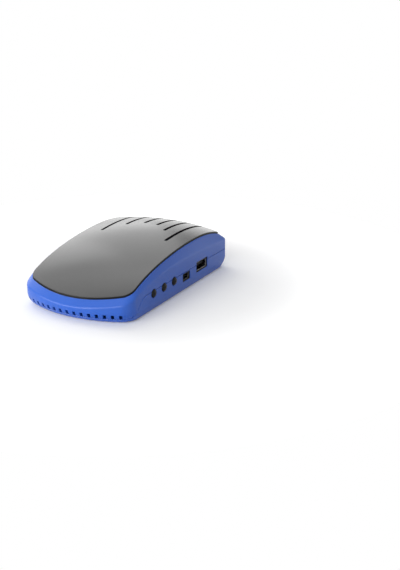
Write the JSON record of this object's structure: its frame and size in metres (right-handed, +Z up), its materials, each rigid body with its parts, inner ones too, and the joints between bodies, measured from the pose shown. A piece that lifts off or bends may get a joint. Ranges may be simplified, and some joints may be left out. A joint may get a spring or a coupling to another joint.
{
  "type": "satellite television receiver",
  "caption": "Small set-top box with a domed gloss cover on a bowed casing, side push buttons and ports, rear sockets.",
  "frame": {"origin": "on the floor, under the middle of the overall length and width", "axes": "+Z up, -Y towards the low bowed front, +X towards the side with the buttons"},
  "size_m": [0.0783, 0.1435, 0.0335],
  "materials": {
    "casing": "satin blue moulding, fine grain",
    "cover": "high gloss black moulding",
    "button_rubber": "soft black cap",
    "plunger": "plain moulding",
    "switch_housing": "plain moulding",
    "port_shell": "tin-plated sheet",
    "port_block": "black insulating moulding",
    "contact": "gilded",
    "socket_nickel": "nickel plate",
    "insulator": "milky insulating moulding",
    "can_steel": "tin-plated sheet",
    "screw_steel": "zinc plate",
    "foot_rubber": "soft pad",
    "board": "glass-fibre laminate with green resist",
    "chip": "moulded package",
    "thermal_pad": "soft grey pad",
    "sink_aluminium": "extruded, bare",
    "capacitor_aluminium": "drawn can",
    "ferrite": "fired ferrite",
    "crystal_steel": "drawn can",
    "sensor_lens": "dark smoked lens",
    "lamp_lens": "tinted lens"
  },
  "bodies": {
    "receiver": {"upper_shell": "casing", "lower_shell": "casing", "top_cover": "cover", "switch_front": "switch_housing", "switch_middle": "switch_housing", "switch_rear": "switch_housing", "usb_shell": "port_shell", "usb_tongue": "port_block", "usb_contacts": "contact", "mini_port_shell": "port_shell", "mini_port_tongue": "port_block", "hdmi_shell": "port_shell", "hdmi_tongue": "port_block", "sound_socket_body": "port_block", "sound_socket_sleeve": "socket_nickel", "power_socket_body": "port_block", "power_socket_pin": "socket_nickel", "aerial_socket": "socket_nickel", "aerial_insulator": "insulator", "aerial_contact": "contact", "tuner_can": "can_steel", "tuner_chip": "chip", "main_board": "board", "main_processor": "chip", "thermal_pad": "thermal_pad", "heat_sink": "sink_aluminium", "memory_chip": "chip", "flash_chip": "chip", "voltage_regulator": "chip", "capacitor_1": "capacitor_aluminium", "capacitor_2": "capacitor_aluminium", "capacitor_3": "capacitor_aluminium", "inductor_1": "ferrite", "inductor_2": "ferrite", "crystal": "crystal_steel", "infrared_receiver": "sensor_lens", "status_lamp": "lamp_lens", "case_screws": "screw_steel", "board_screws": "screw_steel", "feet": "foot_rubber"},
    "front_button": {"button_front": "button_rubber", "plunger_front": "plunger"},
    "middle_button": {"button_middle": "button_rubber", "plunger_middle": "plunger"},
    "rear_button": {"button_rear": "button_rubber", "plunger_rear": "plunger"}
  },
  "joints": [
    {"name": "front_button_press", "type": "slide", "parent": "receiver", "child": "front_button", "axis": [-1, 0, 0], "range_m": [0, 0.0004], "stiffness_N_per_m": 500},
    {"name": "middle_button_press", "type": "slide", "parent": "receiver", "child": "middle_button", "axis": [-1, 0, 0], "range_m": [0, 0.0004], "stiffness_N_per_m": 500},
    {"name": "rear_button_press", "type": "slide", "parent": "receiver", "child": "rear_button", "axis": [-1, 0, 0], "range_m": [0, 0.0004], "stiffness_N_per_m": 500}
  ]
}
